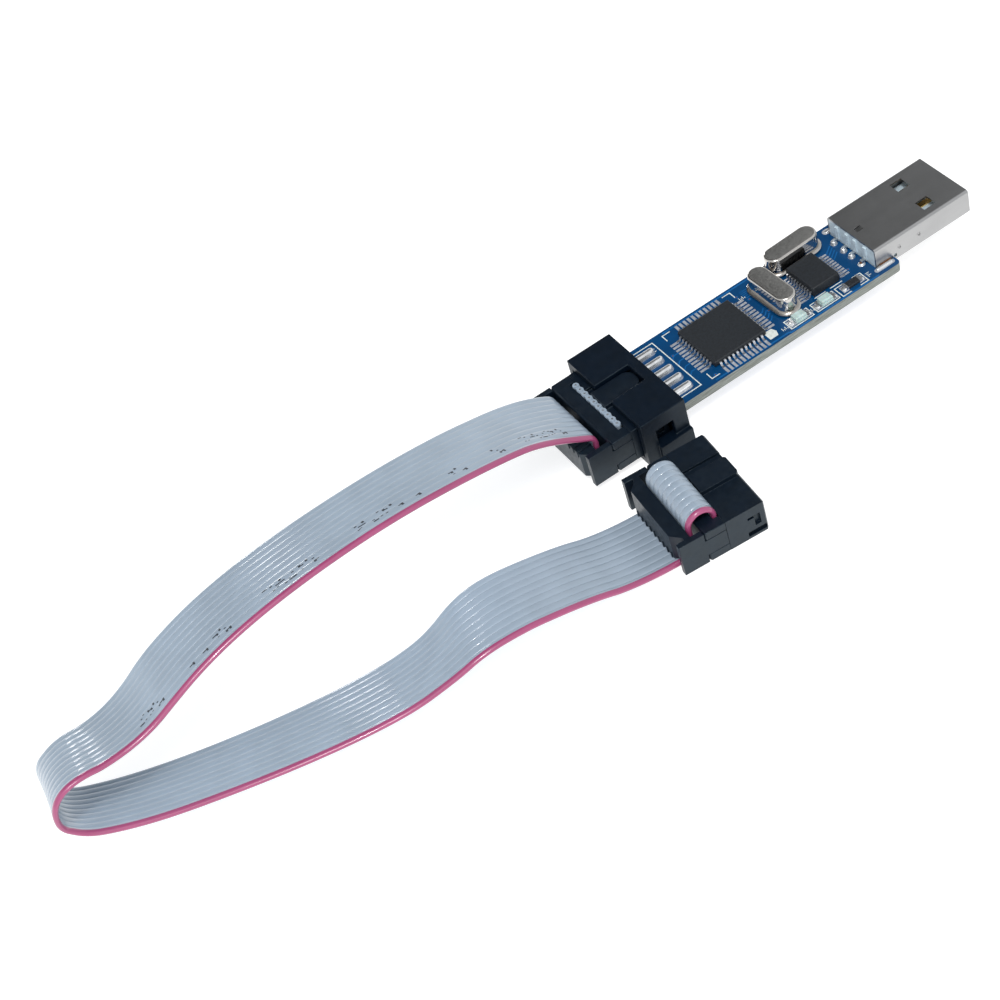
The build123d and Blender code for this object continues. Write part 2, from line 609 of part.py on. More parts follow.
# ---------------------------------------------------------------- assembly
def build():
    PARTS["circuit_board"] = make_board()
    PARTS["usb_shell"] = make_shell()
    PARTS["usb_insulator"] = make_insulator()
    PARTS["usb_contacts"] = make_contacts()
    PARTS["usb_solder_joints"] = make_usb_solder()
    PARTS["controller_body"], PARTS["controller_leads"] = make_chip(QFP)
    PARTS["usb_bridge_body"], PARTS["usb_bridge_leads"] = make_chip(SSOP)
    for name in CRYSTALS:
        make_crystal(name)
    make_led("a", LED_A_AT)
    make_led("b", LED_B_AT)
    make_resistor()
    PARTS["underside_capacitors"] = make_underside(UNDERSIDE_CAPACITORS, CAPACITOR_HEIGHT)
    PARTS["underside_resistors"] = make_underside(UNDERSIDE_RESISTORS, SMALL_RESISTOR_HEIGHT)
    PARTS["header_shroud"] = make_header()
    PARTS["header_pins"] = Compound([header_pin(y, z) for y in COLUMNS for z in ROWS])
    PARTS["header_solder_joints"] = make_header_solder()

    place_a = Pos(SOCKET_A_FACE_X, 0, BOARD_MID)
    place_b = Pos(*SOCKET_B_PLACE) * Rot(0, 0, SOCKET_B_TURN)
    fold_a = make_fold(-1, FOLD_A_HEIGHT, rising_tail(), EXIT_ARC, 0, CUT_A_PROUD)
    fold_b = make_fold(1, FOLD_B_HEIGHT, level_tail(), SLOT_TURN_B, RIBBON_B_SHIFT, CUT_B_PROUD)
    make_socket("a", place_a, -1, fold_a, *KEY_A)
    make_socket("b", place_b, 1, fold_b, *KEY_B)
    leave_x, leave_z = rising_tail()[-1]
    return_x, return_z = level_tail()[-1]
    return_x += RIBBON_LAP
    start = (place_a * Pos(leave_x, 0, leave_z)).position
    end = (place_b * Pos(return_x, RIBBON_B_SHIFT, return_z)).position
    print("ribbon ends:", start, end)
    ribbon = make_ribbon(start, end) - PARTS["ribbon_fold_b"]
    PARTS["ribbon"] = ribbon.solids().sort_by(SortBy.VOLUME)[-1]


build()
os.makedirs("parts", exist_ok=True)
for node, shape in PARTS.items():
    export_step(shape, f"parts/{node}.step")
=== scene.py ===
import json
import math

import bmesh
import bpy
from mathutils import Matrix, Vector

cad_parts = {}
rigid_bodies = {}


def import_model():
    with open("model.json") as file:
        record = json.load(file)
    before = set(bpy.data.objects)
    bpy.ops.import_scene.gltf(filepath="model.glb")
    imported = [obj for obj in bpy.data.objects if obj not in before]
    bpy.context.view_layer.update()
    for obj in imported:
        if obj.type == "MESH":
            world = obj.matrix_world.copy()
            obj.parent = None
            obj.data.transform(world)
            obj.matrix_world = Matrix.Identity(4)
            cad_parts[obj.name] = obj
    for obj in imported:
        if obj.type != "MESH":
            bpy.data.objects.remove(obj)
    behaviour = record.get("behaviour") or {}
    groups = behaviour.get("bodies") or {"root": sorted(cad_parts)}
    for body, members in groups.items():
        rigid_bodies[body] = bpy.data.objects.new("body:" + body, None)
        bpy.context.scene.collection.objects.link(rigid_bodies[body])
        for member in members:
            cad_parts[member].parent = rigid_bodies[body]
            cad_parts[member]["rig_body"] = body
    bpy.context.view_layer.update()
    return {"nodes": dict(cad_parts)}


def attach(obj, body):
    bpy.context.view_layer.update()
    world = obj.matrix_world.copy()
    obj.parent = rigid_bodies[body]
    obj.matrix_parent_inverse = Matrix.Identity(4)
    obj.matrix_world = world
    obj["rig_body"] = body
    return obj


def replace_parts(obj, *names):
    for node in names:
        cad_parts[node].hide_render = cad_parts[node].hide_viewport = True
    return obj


# Looks of the USB microcontroller programmer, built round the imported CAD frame.
# Helpers take millimetres and the row frame, and make meshes in metres.
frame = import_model()
MM = 0.001
BOARD, CABLE = "board", "cable"

# ---- sizes shared with the CAD source, in millimetres
BOARD_TOP = 5.25
BOARD_BOTTOM = 3.65
BOARD_MID = 4.45
WAYS = 10
WIRE_PITCH = 1.27
HALF_THICK = 0.45
SOCKET_HALF_THICK = 3.05
CLAMP_X = -7.1
SLOT_X = -11.4
SOCKET_A_PLACE = Matrix.Translation((-23.75, 0, BOARD_MID))
SOCKET_B_PLACE = Matrix.Translation((-22.88, -24.18, 3.05)) @ Matrix.Rotation(math.radians(-5.4), 4, "Z")
RIBBON_B_SHIFT = -0.35
EXIT_RISE = math.radians(33)
EXIT_ARC = 2.0
EXIT_STRAIGHT = 2.3
RUN_OUT = 0.3
PIN_PITCH = 2.54
CONTROLLER_AT = (-7.05, -0.1)
CONTROLLER_PITCH = 0.8
BRIDGE_AT = (10.8, -0.55)
BRIDGE_PITCH = 0.65
SMALL_PART_X = (3.7, 8.9, 14.25)
SMALL_PART_Y = -6.0
# The ribbon's middle line, chosen as in the CAD source, with its two ends added.
ROUTE = [
    (-36.31, 0.0, 8.59),
    (-41.9, 0.0, 12.2),
    (-55, -3, 18),
    (-73, -5.5, 22),
    (-92, -7, 22.5),
    (-106, -8, 20),
    (-118, -9, 14),
    (-130, -9.5, 16),
    (-132, -9.5, 7),
    (-121, -13, 4),
    (-104, -16.5, 2),
    (-88, -20, 2),
    (-77, -22.5, 4),
    (-67, -23.5, 9),
    (-53, -23, 5),
    (-43.4, -22.59, 0.45),
    (-36.25, -23.27, 0.45),
]
# Lean of the ribbon's width along its length: distance from socket A, then the x and z parts.
LEAN = [
    (0, 0.0, 0.0),
    (15, -0.1, -0.1),
    (45, -0.1, -0.15),
    (75, -0.05, -0.15),
    (95, 0.1, -0.3),
    (120, 0.1, -0.25),
    (160, 0.15, -0.2),
    (175, 0.1, 0.0),
    (204, 0.0945, 0.0),
]


# ---------------------------------------------------------------- materials
class Shader:
    """A Principled material with a few helpers for its texture nodes."""

    def __init__(self, name, color, rough, metallic=0.0, **sockets):
        self.mat = bpy.data.materials.new(name)
        self.mat.use_nodes = True
        self.tree = self.mat.node_tree
        self.bsdf = self.tree.nodes["Principled BSDF"]
        self.color = color
        self.set(**{"Base Color": (*color, 1), "Roughness": rough, "Metallic": metallic, **sockets})

    def set(self, **sockets):
        for key, value in sockets.items():
            self.bsdf.inputs[key].default_value = value

    def node(self, kind, **settings):
        made = self.tree.nodes.new("ShaderNode" + kind)
        for key, value in settings.items():
            if key in made.inputs:
                made.inputs[key].default_value = value
            else:
                setattr(made, key, value)
        return made

    def link(self, out, into):
        self.tree.links.new(out, into)

    def place(self, stretch=(1, 1, 1)):
        """Object coordinates, stretched for grain."""
        coordinates = self.node("TexCoord").outputs["Object"]
        mapping = self.node("Mapping", Scale=stretch)
        self.link(coordinates, mapping.inputs["Vector"])
        return mapping.outputs["Vector"]

    def noise(self, size_mm, detail=3.0, stretch=(1, 1, 1)):
        """Noise whose features are about size_mm across."""
        made = self.node("TexNoise", Scale=1 / (size_mm * MM), Detail=detail)
        self.link(self.place(stretch), made.inputs["Vector"])
        return made.outputs["Fac"]

    def ramp(self, value, low, high, start, end):
        """Value mapped from low..high to start..end."""
        made = self.node("MapRange")
        for key, number in zip(("From Min", "From Max", "To Min", "To Max"), (low, high, start, end)):
            made.inputs[key].default_value = number
        self.link(value, made.inputs["Value"])
        return made.outputs["Result"]

    def mix(self, factor, first, second):
        """Colour mix; first and second are colours or sockets."""
        made = self.node("Mix", data_type="RGBA")
        self.link(factor, made.inputs["Factor"])
        for socket, value in ((made.inputs[6], first), (made.inputs[7], second)):
            if isinstance(value, tuple):
                socket.default_value = (*value, 1)
            else:
                self.link(value, socket)
        return made.outputs[2]

    def tint(self, size_mm, amount, stretch=(1, 1, 1)):
        """Base colour that varies a little over patches of size_mm."""
        factor = self.ramp(self.noise(size_mm, 4.0, stretch), 0.35, 0.65, 0, 1)
        dark = tuple(c * (1 - amount) for c in self.color)
        light = tuple(min(1, c * (1 + amount)) for c in self.color)
        out = self.mix(factor, dark, light)
        self.link(out, self.bsdf.inputs["Base Color"])
        return out

    def gloss(self, size_mm, low, high, stretch=(1, 1, 1)):
        """Roughness that varies between low and high."""
        out = self.ramp(self.noise(size_mm, 4.0, stretch), 0.3, 0.7, low, high)
        self.link(out, self.bsdf.inputs["Roughness"])
        return out

    def bump(self, height, strength, depth_mm, after=None):
        made = self.node("Bump", Strength=strength, Distance=depth_mm * MM)
        self.link(height, made.inputs["Height"])
        if after is not None:
            self.link(after, made.inputs["Normal"])
        self.link(made.outputs["Normal"], self.bsdf.inputs["Normal"])
        return made.outputs["Normal"]

    def up(self, low, high):
        """0 on the sides and 1 on faces that look up or down."""
        normal = self.node("SeparateXYZ")
        self.link(self.node("NewGeometry").outputs["Normal"], normal.inputs["Vector"])
        size = self.node("Math", operation="ABSOLUTE")
        self.link(normal.outputs["Z"], size.inputs[0])
        return self.ramp(size.outputs["Value"], low, high, 0, 1)


def black_plastic(name, index):
    s = Shader(name, (0.0015, 0.005, 0.012), 0.4, **{"IOR": index, "Specular Tint": (0.75, 0.93, 1, 1)})
    s.tint(2.0, 0.15)
    s.gloss(0.9, 0.34, 0.46)
    grain = s.bump(s.noise(0.12, 2.0), 0.2, 0.015)
    s.bump(s.noise(3.5, 2.0, (0.3, 1, 1)), 0.08, 0.04, grain)
    return s.mat


def chip_epoxy():
    s = Shader("chip_epoxy", (0.008, 0.011, 0.015), 0.55)
    s.tint(0.4, 0.3)
    s.gloss(0.3, 0.45, 0.62)
    s.bump(s.noise(0.07, 2.0), 0.5, 0.015)
    return s.mat


def solder_mask():
    s = Shader("solder_mask", (0.001, 0.06, 0.21), 0.28, **{"IOR": 1.45})
    broad = s.ramp(s.noise(5.0, 2.0), 0.3, 0.7, 0, 1)
    mask = s.mix(broad, (0.0005, 0.041, 0.128), (0.0005, 0.053, 0.165))
    fibres = s.ramp(s.noise(0.35, 3.0, (0.15, 0.15, 3)), 0.3, 0.7, 0, 1)
    laminate = s.mix(fibres, (0.12, 0.13, 0.115), (0.27, 0.29, 0.27))
    top = s.up(0.5, 0.7)
    s.link(s.mix(top, laminate, mask), s.bsdf.inputs["Base Color"])
    s.link(s.ramp(top, 0, 1, 0.75, 0.28), s.bsdf.inputs["Roughness"])
    s.bump(s.noise(0.5, 2.0), 0.15, 0.03)
    return s.mat


def flat_paint(name, color, rough, size_mm, **sockets):
    """Painted or moulded surface: patchy colour, fine grain."""
    s = Shader(name, color, rough, **sockets)
    s.tint(size_mm, 0.12)
    s.gloss(size_mm, rough * 0.85, min(1, rough * 1.15))
    s.bump(s.noise(size_mm * 0.3, 2.0), 0.2, 0.02)
    return s.mat


def plated(name, color, rough, size_mm, bump=0.25, metallic=1.0):
    """Plated or soldered metal with a slightly uneven surface."""
    s = Shader(name, color, rough, metallic)
    s.tint(size_mm, 0.08)
    s.gloss(size_mm, rough * 0.75, rough * 1.3)
    s.bump(s.noise(size_mm, 3.0), bump, 0.03)
    return s.mat


# Where the plug's contacts turn from tin to gold, in metres along X.
GOLD_FROM = (0.0193, 0.0195)


def contact_plate():
    """Gold inside the plug, tinned where the contacts come out at its rear."""
    s = Shader("contact_plate", (0.75, 0.5, 0.18), 0.27, 1.0)
    along = s.node("SeparateXYZ")
    s.link(s.node("TexCoord").outputs["Object"], along.inputs["Vector"])
    inside = s.ramp(along.outputs["X"], *GOLD_FROM, 0, 1)
    s.link(s.mix(inside, (0.7, 0.71, 0.72), (0.75, 0.5, 0.18)), s.bsdf.inputs["Base Color"])
    s.gloss(0.5, 0.2, 0.34)
    s.bump(s.noise(0.5, 3.0), 0.2, 0.02)
    return s.mat


def shell_steel():
    s = Shader("shell_steel", (0.4, 0.4, 0.4), 0.3, 1.0)
    s.tint(4.0, 0.06, (0.3, 1, 1))
    s.gloss(0.3, 0.3, 0.35, (0.3, 1, 1))
    brushed = s.bump(s.noise(0.06, 2.0, (0.08, 1, 1)), 0.12, 0.01)
    pits = s.ramp(s.noise(0.9, 1.0), 0.74, 0.8, 0, 1)
    s.bump(pits, 0.15, 0.02, brushed)
    return s.mat


def crystal_can():
    """Nickel can: satin lid, mirror sides."""
    s = Shader("crystal_nickel", (0.6, 0.575, 0.545), 0.15, 1.0)
    s.tint(1.5, 0.06)
    lid = s.up(0.9, 0.99)
    s.link(s.ramp(lid, 0, 1, 0.1, 0.38), s.bsdf.inputs["Roughness"])
    s.bump(s.noise(0.1, 2.0), 0.12, 0.012)
    return s.mat


def wire_sheath(name, color):
    s = Shader(name, color, 0.4, **{"IOR": 1.5, "Coat Weight": 0.8, "Coat Roughness": 0.1})
    s.tint(6.0, 0.05)
    s.gloss(1.5, 0.33, 0.47)
    s.bump(s.noise(0.5, 3.0), 0.12, 0.03)
    return s.mat


def pale_resin(name, color, glow):
    s = Shader(name, color, 0.18, **{"IOR": 1.5, "Subsurface Weight": glow, "Subsurface Scale": 0.001})
    s.tint(0.8, 0.12)
    s.bump(s.noise(0.3, 2.0), 0.1, 0.03)
    return s.mat


def floor_paint():
    glow = {"Emission Color": (1, 1, 1, 1), "Emission Strength": 0.74}
    s = Shader("floor_paint", (0.5, 0.5, 0.5), 0.7, **glow)
    s.tint(60.0, 0.01)
    return s.mat


PLASTIC = black_plastic("black_plastic", 1.48)
HEADER_PLASTIC = black_plastic("header_plastic", 1.34)
EPOXY = chip_epoxy()
MASK = solder_mask()
TRACE = flat_paint("mask_over_copper", (0.004, 0.1, 0.3), 0.3, 1.5)
SILK = flat_paint("silkscreen_ink", (0.66, 0.7, 0.66), 0.6, 0.4)
TIN = plated("tin_plate", (0.62, 0.64, 0.67), 0.28, 0.4, 0.15, 0.9)
SOLDER = plated("solder_metal", (0.82, 0.83, 0.84), 0.2, 0.9, 0.15, 0.85)
PAD = plated("tinned_pad", (0.5, 0.52, 0.56), 0.4, 0.5, 0.2, 0.5)
STEEL = shell_steel()
CAN = crystal_can()
GOLD = plated("gold_plate", (0.75, 0.5, 0.18), 0.25, 0.5)
CONTACT = contact_plate()
FLUX = flat_paint("solder_flux", (0.16, 0.07, 0.03), 0.25, 0.4)
LID = plated("crystal_lid", (0.385, 0.38, 0.365), 0.42, 0.3, 0.2)
WHITE = flat_paint("insulator_white", (0.5, 0.6, 0.66), 0.4, 0.7)
LENS = pale_resin("led_resin", (0.42, 0.54, 0.52), 0.1)
QUARTZ = pale_resin("quartz_blank", (0.85, 0.88, 0.9), 0.1)
GLAZE = flat_paint("resistor_glaze", (0.02, 0.022, 0.026), 0.25, 0.5)
CERAMIC = flat_paint("capacitor_ceramic", (0.5, 0.36, 0.22), 0.45, 0.5)
GREY = wire_sheath("ribbon_grey", (0.3, 0.369, 0.447))
PINK = wire_sheath("ribbon_pink", (0.34, 0.055, 0.155))
INK = flat_paint("ribbon_ink", (0.03, 0.035, 0.045), 0.5, 0.3)
FLOOR = floor_paint()


# ---------------------------------------------------------------- mesh helpers
def piece(name, verts, faces, materials, body, smooth=True, picks=None):
    """A mesh piece from millimetre points; picks gives each face's material number."""
    mesh = bpy.data.meshes.new(name)
    mesh.from_pydata([Vector(v) * MM for v in verts], [], faces)
    for material in materials if isinstance(materials, list) else [materials]:
        mesh.materials.append(material)
    if picks:
        mesh.polygons.foreach_set("material_index", picks)
    made = bpy.data.objects.new(name, mesh)
    bpy.context.scene.collection.objects.link(made)
    tidy = bmesh.new()
    tidy.from_mesh(mesh)
    bmesh.ops.recalc_face_normals(tidy, faces=tidy.faces)
    tidy.to_mesh(mesh)
    tidy.free()
    if smooth:
        mesh.shade_smooth()
        mesh.set_sharp_from_angle(angle=math.radians(38))
    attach(made, body)
    return made


class Solid:
    """Collects closed shapes that share one piece."""

    def __init__(self):
        self.verts, self.faces, self.picks = [], [], []

    def loft(self, rings, pick=0):
        """Skin over equal rings of points, with flat ends."""
        start, count = len(self.verts), len(rings[0])
        for ring in rings:
            self.verts += [tuple(point) for point in ring]
        for level in range(len(rings) - 1):
            for i in range(count):
                j = (i + 1) % count
                a, b = start + level * count, start + (level + 1) * count
                self.add((a + i, a + j, b + j, b + i), pick)
        last = start + (len(rings) - 1) * count
        for end in (start, last):
            self.add(tuple(range(end, end + count)), pick)

    def add(self, face, pick):
        self.faces.append(face)
        self.picks.append(pick)

    def make(self, name, materials, body, slot, smooth=True):
        return piece(name, self.verts, self.faces, materials, body, smooth, self.picks)


SHARP_EDGE = math.radians(35)


def bevel(obj, width_mm):
    """Rounded edges, with the flat faces still shaded flat."""
    made = obj.modifiers.new("edge_round", "BEVEL")
    made.width = width_mm * MM
    made.segments = 2
    made.limit_method = "ANGLE"
    made.angle_limit = SHARP_EDGE
    weighted = obj.modifiers.new("flat_faces", "WEIGHTED_NORMAL")
    weighted.keep_sharp = True
    weighted.weight = 80


def refine(node, material, width_mm):
    """A copy of a CAD node with merged faces and rounded edges, standing for that node."""
    source = frame["nodes"][node]
    mesh = source.data.copy()
    mesh.name = node + "_rounded"
    mesh.materials.clear()
    mesh.materials.append(material)
    work = bmesh.new()
    work.from_mesh(mesh)
    bmesh.ops.remove_doubles(work, verts=work.verts, dist=2e-6)
    bmesh.ops.dissolve_limit(work, angle_limit=math.radians(0.6), verts=work.verts, edges=work.edges)
    bmesh.ops.connect_verts_concave(work, faces=work.faces)
    bmesh.ops.recalc_face_normals(work, faces=work.faces)
    work.to_mesh(mesh)
    work.free()
    for layer in [a for a in mesh.attributes if a.name == "custom_normal"]:
        mesh.attributes.remove(layer)
    mesh.shade_smooth()
    mesh.set_sharp_from_angle(angle=SHARP_EDGE)
    made = bpy.data.objects.new(node + "_visual", mesh)
    bpy.context.scene.collection.objects.link(made)
    bevel(made, width_mm)
    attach(made, source["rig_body"])
    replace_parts(made, node)
    return made


def stadium(x, y, z, length, width, turn=0.0, arcs=8):
    """Ring of a slot shape, its length along the turned X."""
    radius, reach = width / 2, (length - width) / 2
    cosine, sine = math.cos(turn), math.sin(turn)
    ring = []
    for side, base in ((1, -90), (-1, 90)):
        for i in range(arcs + 1):
            angle = math.radians(base + 180 * i / arcs)
            px, py = side * reach + radius * math.cos(angle), radius * math.sin(angle)
            ring.append((x + px * cosine - py * sine, y + px * sine + py * cosine, z))
    return ring


def rectangle(x, y, z, length, width):
    a, b = length / 2, width / 2
    return [(x - a, y - b, z), (x + a, y - b, z), (x + a, y + b, z), (x - a, y + b, z)]


def plate(solid, ring, thick, pick=0):
    """Thin prism on a ring."""
    solid.loft([ring, [(x, y, z + thick) for x, y, z in ring]], pick)


# Share of a mound's width cut off, against share of its height.
MOUND_STEPS = ((0, 0), (0.1, 0.2), (0.2, 0.45), (0.3, 0.7), (0.42, 0.88), (0.6, 0.97), (0.9, 1.0))


def mound(solid, x, y, z, length, width, height):
    """Solder mound: a stadium footprint with a concave foot and a round top."""
    rings = []
    for shrink, rise in MOUND_STEPS:
        cut = shrink * width
        rings.append(stadium(x, y, z + rise * height, length - cut, width - cut))
    solid.loft(rings)


def stroke(solid, points, width, level, thick, closed=False):
    """Flat line with mitred corners through 2-D points."""
    path = [Vector(p) for p in points]
    count = len(path)
    left, right = [], []
    for i, here in enumerate(path):
        before = path[i - 1] if closed or i else None
        after = path[(i + 1) % count] if closed or i < count - 1 else None
        pairs = ((before, here), (here, after))
        runs = [(b - a).normalized() for a, b in pairs if a is not None and b is not None]
        along = sum(runs, Vector((0, 0))).normalized()
        side = Vector((-along.y, along.x))
        reach = width / 2 / max(0.4, side.dot(Vector((-runs[0].y, runs[0].x))))
        left.append(here + side * reach)
        right.append(here - side * reach)
    spans = range(count if closed else count - 1)
    for i in spans:
        j = (i + 1) % count
        ring = [(*p, level) for p in (left[i], left[j], right[j], right[i])]
        plate(solid, ring, thick)


# ---------------------------------------------------------------- ribbon
WIRE_STEPS = (-0.635, -0.6, -0.5, -0.32, -0.12, 0.12, 0.32, 0.5, 0.6)
WIRE_REACH = 0.64
VALLEY_HALF = 0.33
RIDGE_RISE = 0.12
EDGE_HALF = 0.04


def ribbon_profile():
    """(offset across, half thickness) along the top of the ribbon: ten round-backed wires."""
    spots = []
    for wire in range(WAYS):
        middle = (wire - (WAYS - 1) / 2) * WIRE_PITCH
        for step in WIRE_STEPS:
            outer = (wire == 0 and step < 0) or (wire == WAYS - 1 and step > 0)
            if outer:
                half = HALF_THICK * math.sqrt(max(0.0, 1 - (step / WIRE_REACH) ** 2))
            else:
                half = VALLEY_HALF + RIDGE_RISE * math.sqrt(1 - (step / WIRE_REACH) ** 2)
            spots.append((middle + step, half, wire))
    spots.append((WAYS / 2 * WIRE_PITCH, EDGE_HALF, WAYS - 1))
    return spots


PROFILE = ribbon_profile()
PINK_EDGE = -5.5


def inked(marks, distance, across):
    """Whether a printed patch covers this place on the ribbon."""
    return any(start <= distance <= end and low <= across <= high for start, end, low, high in marks)


def ribbon_piece(stations, shift=0.0, marks=(), plain=0.0):
    """Skin of the ribbon over stations of (centre, width direction, thickness direction, distance).

    No colour shows on the edge wire over the plain length at the start.
    """
    solid = Solid()
    top = [(u + shift, half, wire) for u, half, wire in PROFILE]
    section = top + [(u, -half, wire) for u, half, wire in reversed(top)]
    count = len(section)
    for centre, across, normal, _ in stations:
        for u, half, _ in section:
            solid.verts.append(tuple(centre + across * u + normal * half))
    for level in range(len(stations) - 1):
        distance = stations[level][3]
        for i in range(count):
            j = (i + 1) % count
            wire = min(section[i][2], section[j][2])
            pick = 1 if wire == 0 and max(section[i][0], section[j][0]) - shift < PINK_EDGE else 0
            if distance < plain:
                pick = 0
            if i < len(top) and inked(marks, distance, section[i][0]):
                pick = 2
            a, b = level * count, (level + 1) * count
            solid.add((a + i, a + j, b + j, b + i), pick)
    for base in (0, (len(stations) - 1) * count):
        last = base + count - 1
        for i in range(len(top) - 1):
            pick = 1 if section[i][2] == 0 and not plain else 0
            solid.add((base + i, base + i + 1, last - i - 1, last - i), pick)
    return solid


def lean_at(distance):
    """Width direction before it is squared to the path."""
    for (s0, x0, z0), (s1, x1, z1) in zip(LEAN, LEAN[1:]):
        if distance <= s1 or s1 == LEAN[-1][0]:
            t = min(1.0, max(0.0, (distance - s0) / (s1 - s0)))
            t = t * t * (3 - 2 * t)
            return Vector((x0 + (x1 - x0) * t, 1, z0 + (z1 - z0) * t))
    return Vector((0, 1, 0))


def route_points():
    """Points along the route's NURBS spline, in millimetres."""
    curve = bpy.data.curves.new("ribbon_route", "CURVE")
    curve.dimensions = "3D"
    curve.resolution_u = 40
    spline = curve.splines.new("NURBS")
    spline.points.add(len(ROUTE) - 1)
    for point, place in zip(spline.points, ROUTE):
        point.co = (*place, 1)
    spline.order_u = 3
    spline.use_endpoint_u = True
    guide = bpy.data.objects.new("ribbon_route", curve)
    mesh = bpy.data.meshes.new_from_object(guide)
    points = [v.co.copy() for v in mesh.vertices]
    bpy.data.objects.remove(guide)
    return points


def stations_along(points, across_at, ends):
    """Ribbon stations on a line of points; ends are the directions at its two ends."""
    stations, distance = [], 0.0
    for i, here in enumerate(points):
        if i:
            distance += (here - points[i - 1]).length
        if 0 < i < len(points) - 1:
            along = (points[i + 1] - points[i - 1]).normalized()
        else:
            along = Vector(ends[0] if i == 0 else ends[1]).normalized()
        across = across_at(distance)
        across = (across - along * across.dot(along)).normalized()
        stations.append((here, across, across.cross(along), distance))
    return stations


# Stretches with print on them, as (start, length), and the rows of dots in them.
INK_RUNS = (
    (3, 9), (16, 2), (23, 2.5), (31.5, 1.5), (34.5, 8.5), (49, 10), (64.5, 3), (69, 1), (71.5, 1), (78, 5),
)
INK_ROWS = (-4.6, -4.35, -4.15, -3.7, -3.52, -3.32, -3.08)
INK_STEP = 0.7
DOT_LONG = 0.3
DASH_LONG = 0.9
DOT_WIDE = 0.06


def ink_marks():
    """Generic dotted print along the ribbon, as (start, end, low, high) patches."""
    marks = []
    for start, length in INK_RUNS:
        for column in range(round(length / INK_STEP)):
            distance = start + column * INK_STEP
            for row in ((column * 3) % 7, (column * 5 + 2) % 7):
                low = INK_ROWS[row]
                marks.append((distance, distance + DOT_LONG, low, low + DOT_WIDE))
            if column % 3 == 0:
                low = INK_ROWS[(column + 1) % 7]
                marks.append((distance, distance + DASH_LONG, low, low + DOT_WIDE))
    return marks


# Direction of the ribbon's far end, along socket B.
INTO_SOCKET_B = (0.99556, -0.09411, 0)


def make_ribbon():
    points = route_points()
    ends = ((-math.cos(EXIT_RISE), 0, math.sin(EXIT_RISE)), INTO_SOCKET_B)
    stations = stations_along(points, lean_at, ends)
    solid = ribbon_piece(stations, 0.0, ink_marks())
    made = solid.make("ribbon_cable", [GREY, PINK, INK], CABLE, "ribbon_grey")
    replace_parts(made, "ribbon")
    length = stations[-1][3] * MM
    print("ribbon length", round(length, 4))


def arc(centre, radius, start, end, count=14):
    """Points of an arc in the socket's X-Z plane, angles in degrees."""
    steps = [math.radians(start + (end - start) * i / count) for i in range(count + 1)]
    return [(centre[0] + radius * math.cos(a), centre[1] + radius * math.sin(a)) for a in steps]


# Cut wire ends in socket A: radius, low and high levels, and material number.
CUT_RINGS = ((0.56, 2.0, -0.02, 0), (0.5, 0.3, -0.12, 0), (0.17, 0.1, -0.13, 3))


def fold_piece(name, node, place, line, shift):
    """Ribbon inside a socket, along a line of X-Z points in the socket's frame."""
    points = [place @ Vector((x, 0, z)) for x, z in line]
    side = place.to_3x3() @ Vector((0, 1, 0))
    ends = (points[1] - points[0], points[-1] - points[-2])
    stations = stations_along(points, lambda _: side, ends)
    solid = ribbon_piece(stations, shift, (), 0.0 if shift else 4.0)
    if shift == 0:
        for wire in range(WAYS):
            y = (wire - (WAYS - 1) / 2) * WIRE_PITCH
            for radius, low, high, pick in CUT_RINGS:
                rings = []
                for level in (low, high):
                    circle = stadium(0, 0, level, 2 * radius, 2 * radius)
                    rings.append([points[0] + Vector((x, y + out, -z)) for x, out, z in circle])
                solid.loft(rings, pick)
    made = solid.make(name, [GREY, PINK, INK, TIN], CABLE, "ribbon_grey")
    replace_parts(made, node)


def make_folds():
    bend = (CLAMP_X - SLOT_X) / 2
    middle = (CLAMP_X + SLOT_X) / 2
    roll = [(CLAMP_X, -SOCKET_HALF_THICK + 0.1), (CLAMP_X, 0), (CLAMP_X, SOCKET_HALF_THICK)]
    roll += arc((middle, SOCKET_HALF_THICK), bend, 0, 180, 22)[1:]
    level = HALF_THICK - SOCKET_HALF_THICK
    roll += arc((SLOT_X - 1.0, level + 1.0), 1.0, 0, -90, 8) + [(SLOT_X - 2.0, level)]
    fold_piece("ribbon_roll_b", "ribbon_fold_b", SOCKET_B_PLACE, roll, RIBBON_B_SHIFT)

    low = -SOCKET_HALF_THICK - 0.9
    turn = 0.89
    line = [(CLAMP_X, SOCKET_HALF_THICK + 0.15), (CLAMP_X, SOCKET_HALF_THICK - 1.5), (CLAMP_X, 0)]
    line += arc((CLAMP_X - turn, low + turn), turn, 0, -90, 8)
    line += arc((SLOT_X + turn, low + turn), turn, -90, -180, 8)
    line += [(SLOT_X, 0), (SLOT_X, EXIT_STRAIGHT)]
    turn_out = 90 - math.degrees(EXIT_RISE)
    line += arc((SLOT_X - EXIT_ARC, EXIT_STRAIGHT), EXIT_ARC, 0, turn_out, 10)[1:]
    corner = EXIT_ARC * math.tan(math.radians(turn_out) / 2)
    reach = corner + RUN_OUT
    line += [(SLOT_X - reach * math.cos(EXIT_RISE), EXIT_STRAIGHT + corner + reach * math.sin(EXIT_RISE))]
    fold_piece("ribbon_fold_a_visual", "ribbon_fold_a", SOCKET_A_PLACE, line, 0.0)


# ---------------------------------------------------------------- plastic and metal copies
def make_connectors():
    for side in "ab":
        for part in ("body", "cover", "strain_relief"):
            refine(f"socket_{side}_{part}", PLASTIC, 0.1)
    refine("header_shroud", HEADER_PLASTIC, 0.12)
    refine("usb_shell", STEEL, 0.07)
    refine("usb_insulator", WHITE, 0.08)
    refine("controller_body", EPOXY, 0.12)
    refine("usb_bridge_body", EPOXY, 0.1)
    for name in "ab":
        refine(f"led_{name}_body", LENS, 0.06)
    refine("resistor_body", GLAZE, 0.06)


PLUG_HALF_WIDTH = 6.0
PLUG_MID = 6.5
DIMPLE_X = (23.97, 27.93)
